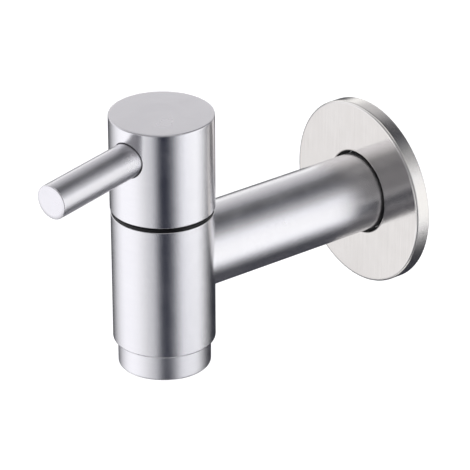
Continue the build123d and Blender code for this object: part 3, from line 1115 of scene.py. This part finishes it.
@dataclass(frozen=True)
class Card:
    """A dark cloth or a soft box hung round the object. Its edges fade out, as they do when out of focus.

    Bearings are degrees to the right of the camera's own, and rises are degrees above the horizon.
    """

    name: str
    bearings: tuple[float, float]
    rises: tuple[float, float]
    colour: str
    level: float
    fade: tuple[float, float, float, float]
    cover: float = 1.0
    distance: float = 2.6
    facet_deg: float = 6.0

    def material(self) -> bpy.types.Material:
        """Builds a glow that fades at the left, right, lower and upper edge.

        Returns:
            The material, under the card's name.
        """
        material, tree = empty_material(self.name)
        place = add_node(tree, "ShaderNodeUVMap", uv_map=self.name)
        parts = add_node(tree, "ShaderNodeSeparateXYZ", {0: place.outputs[0]})
        width, height = self.bearings[1] - self.bearings[0], self.rises[1] - self.rises[0]
        ends = (
            (parts.outputs["X"], 0.0, self.fade[0]),
            (parts.outputs["X"], width, width - self.fade[1]),
            (parts.outputs["Y"], 0.0, self.fade[2]),
            (parts.outputs["Y"], height, height - self.fade[3]),
        )
        solid = self.cover
        for degrees, edge, full in ends:
            ramp = add_node(
                tree,
                "ShaderNodeMapRange",
                {"Value": degrees, "From Min": edge, "From Max": full},
                interpolation_type="SMOOTHSTEP",
            )
            faded = add_node(tree, "ShaderNodeMath", {0: solid, 1: ramp.outputs[0]}, operation="MULTIPLY")
            solid = faded.outputs[0]
        glow = add_node(tree, "ShaderNodeEmission", {"Color": linear(self.colour), "Strength": self.level})
        clear = add_node(tree, "ShaderNodeBsdfTransparent")
        both = add_node(tree, "ShaderNodeMixShader", {0: solid, 1: clear.outputs[0], 2: glow.outputs[0]})
        add_node(tree, "ShaderNodeOutputMaterial", {"Surface": both.outputs[0]})
        return material

    def build(self, camera_bearing: float, centre: Vector) -> None:
        """Hangs the card.

        Args:
            camera_bearing: the camera's own bearing in degrees.
            centre: the point that the card hangs round.
        """
        width, height = self.bearings[1] - self.bearings[0], self.rises[1] - self.rises[0]
        across, upward = round(width / self.facet_deg), round(height / self.facet_deg)
        verts, faces, spots = [], [], []
        for j in range(upward + 1):
            for i in range(across + 1):
                spot = (width * i / across, height * j / upward)
                turn = self.bearings[0] + spot[0] + camera_bearing
                verts.append(centre + facing(turn, self.rises[0] + spot[1]) * self.distance)
                spots.append(spot)
        for j in range(upward):
            for i in range(across):
                k = j * (across + 1) + i
                faces.append((k, k + 1, k + across + 2, k + across + 1))
        mesh = bpy.data.meshes.new(self.name)
        mesh.from_pydata(verts, [], faces)
        layer = mesh.uv_layers.new(name=self.name)
        layer.data.foreach_set("uv", [c for face in faces for k in face for c in spots[k]])
        mesh.materials.append(self.material())
        card = bpy.data.objects.new(self.name, mesh)
        card.visible_camera = False
        card.visible_shadow = False
        bpy.context.scene.collection.objects.link(card)


@dataclass
class Studio:
    """The photographer's room: camera, cards and soft boxes all round, and a pale floor."""

    azimuth_deg: float = 52.663
    elevation_deg: float = 26.852
    roll_deg: float = -0.218
    distance: float = 1223.69 * MM
    aim_right: float = 26.233 * MM
    aim_up: float = 8.62 * MM
    focal_px: float = 3343.6
    picture_px: int = 470
    sensor_mm: float = 36.0
    floor_drop: float = 110 * MM
    floor_size: float = 16.0
    floor_glow: float = 0.6
    fill_level: float = 0.9

    CARDS = (
        Card("box_left", (-168, -14), (-80, 62), "#FAFAFE", 1.31, (60, 60, 55, 45)),
        Card("box_right", (14, 124), (-80, 50), "#F9FAFF", 1.26, (50, 44, 60, 40)),
        Card("cloth_front_wide", (-62, 66), (-80, 60), "#8A8E9D", 1.0, (58, 60, 20, 40), 0.5, 2.5),
        Card("cloth_front_core", (-23, 48), (-80, 6), "#141A2E", 1.0, (24, 40, 20, 26), 1.0, 2.4),
        Card("cloth_front_high", (-120, 70), (-16, 76), "#8A8A8E", 1.0, (50, 44, 28, 16), 0.9, 2.35),
        Card("cloth_above", (50, 230), (16, 76), "#575861", 1.0, (30, 30, 44, 14), 0.95, 2.3),
        Card("cloth_front_top", (-90, 40), (36, 74), "#5A5B63", 1.0, (30, 30, 16, 14), 0.35, 2.32),
        Card("cloth_side", (88, 142), (-6, 62), "#4E4F58", 1.0, (26, 20, 26, 20), 0.8, 2.25),
        Card("cloth_behind", (78, 268), (-80, 10), "#33343C", 1.0, (60, 76, 10, 14), 1.0, 2.2),
        Card("cloth_below", (36, 290), (-78, -26), "#3E3F48", 1.0, (32, 56, 14, 34), 1.0, 2.1),
        Card("grey_behind", (140, 222), (8, 60), "#DAD9DC", 1.0, (30, 20, 8, 27), 1.0, 2.15),
        Card("glow_behind", (140, 220), (2, 30), "#FFFFFF", 1.3, (30, 24, 8, 16), 0.9, 2.14),
        Card("cloth_top_core", (92, 160), (46, 78), "#10121C", 1.0, (20, 18, 12, 10), 1.0, 2.22),
        Card("box_right_core", (46, 124), (-38, 26), "#FFFFFF", 1.34, (26, 26, 26, 24), 0.8, 2.28),
        Card("cloth_below_front", (-92, 56), (-70, -32), "#74747A", 1.0, (24, 32, 12, 14), 1.0, 2.07),
        Card("cloth_below_right", (36, 150), (-74, -20), "#48484C", 1.0, (26, 30, 16, 22), 0.32, 2.05),
        Card("cloth_below_far", (86, 170), (-74, -20), "#48484C", 1.0, (24, 30, 16, 22), 0.22, 2.0),
        Card("cloth_side_near", (80, 104), (8, 44), "#505054", 1.0, (10, 8, 14, 12), 0.35, 2.24),
    )

    def camera(self) -> None:
        """Places the camera at the photograph's viewing angle."""
        azimuth = math.radians(self.azimuth_deg)
        back = facing(self.azimuth_deg, self.elevation_deg)
        right = Vector((math.cos(azimuth), math.sin(azimuth), 0))
        up = back.cross(right)
        roll = math.radians(self.roll_deg)
        tilted_right = right * math.cos(roll) + up * math.sin(roll)
        tilted_up = up * math.cos(roll) - right * math.sin(roll)
        low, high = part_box("body_shell")
        aim = Vector((0, (low.y + high.y) / 2, 0)) + right * self.aim_right + up * self.aim_up
        lens = bpy.data.cameras.new("photo_camera")
        lens.sensor_width = self.sensor_mm
        lens.lens = self.focal_px * self.sensor_mm / self.picture_px
        camera = bpy.data.objects.new("photo_camera", lens)
        bpy.context.scene.collection.objects.link(camera)
        turn = Matrix((tilted_right, tilted_up, back)).transposed().to_4x4()
        camera.matrix_world = Matrix.Translation(aim + back * self.distance) @ turn
        bpy.context.scene.camera = camera

    def seen_share(self, tree: bpy.types.NodeTree) -> bpy.types.NodeSocket:
        """Tells rays that show a thing from rays that only carry light to it.

        Args:
            tree: the node tree that takes the nodes.

        Returns:
            One for rays from the camera, off metal or through glass, and zero for the others.
        """
        path = add_node(tree, "ShaderNodeLightPath")
        mirrored = add_node(
            tree,
            "ShaderNodeMath",
            {0: path.outputs["Is Camera Ray"], 1: path.outputs["Is Glossy Ray"]},
            operation="ADD",
        )
        return add_node(
            tree,
            "ShaderNodeMath",
            {0: mirrored.outputs[0], 1: path.outputs["Is Transmission Ray"]},
            operation="ADD",
            use_clamp=True,
        ).outputs[0]

    def background(self) -> None:
        """Sets a white background and an even fill light."""
        world = bpy.data.worlds.new("studio")
        bpy.context.scene.world = world
        world.use_nodes = True
        tree = world.node_tree
        tree.nodes.clear()
        paper_white = linear("#FFFFFF")
        fill = add_node(tree, "ShaderNodeBackground", {"Color": paper_white, "Strength": self.fill_level})
        white = add_node(tree, "ShaderNodeBackground", {"Color": paper_white, "Strength": 1.0})
        seen = add_node(
            tree, "ShaderNodeMixShader", {0: self.seen_share(tree), 1: fill.outputs[0], 2: white.outputs[0]}
        )
        add_node(tree, "ShaderNodeOutputWorld", {"Surface": seen.outputs[0]})

    def floor(self) -> None:
        """Lays a pale paper floor, which the camera sees as white with the object's soft shadow."""
        low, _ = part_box("aerator_sleeve")
        half, z = self.floor_size / 2, low.z - self.floor_drop
        mesh = bpy.data.meshes.new("floor")
        corners = [(-half, -half, z), (half, -half, z), (half, half, z), (-half, half, z)]
        mesh.from_pydata(corners, [], [(0, 1, 2, 3)])
        floor = bpy.data.objects.new("floor", mesh)
        bpy.context.scene.collection.objects.link(floor)
        material, tree = empty_material("paper_matt")
        paper = add_node(tree, "ShaderNodeBsdfDiffuse", {"Color": linear("#F4F4F4")})
        glow = add_node(tree, "ShaderNodeEmission", {"Color": linear("#FFFFFF"), "Strength": self.floor_glow})
        lit = add_node(tree, "ShaderNodeAddShader", {0: paper.outputs[0], 1: glow.outputs[0]})
        seen = add_node(
            tree, "ShaderNodeMixShader", {0: self.seen_share(tree), 1: paper.outputs[0], 2: lit.outputs[0]}
        )
        add_node(tree, "ShaderNodeOutputMaterial", {"Surface": seen.outputs[0]})
        mesh.materials.append(material)
        floor.visible_glossy = False

    def build(self) -> None:
        """Sets up the room."""
        bpy.context.scene.view_settings.view_transform = "Standard"
        self.camera()
        self.background()
        self.floor()
        low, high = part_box("body_shell")
        for card in self.CARDS:
            card.build(self.azimuth_deg, (low + high) / 2)
        LOG.info("studio: lens %.0f mm, %d cards", bpy.context.scene.camera.data.lens, len(self.CARDS))


def main() -> None:
    """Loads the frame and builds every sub-assembly."""
    logging.basicConfig(level=logging.INFO, format="%(name)s: %(message)s")
    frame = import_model()
    studio, column, cap = Studio(), Column(), LeverCap()
    arm, cover, aerator, inlet = Arm(), WallCover(), Aerator(), Inlet()
    studio.build()
    column.build()
    cap.build(frame)
    arm.build(column)
    cover.build(arm)
    aerator.build(column)
    inlet.build(arm)
    InnerWorks().build(frame)


if __name__ == "__main__":
    main()
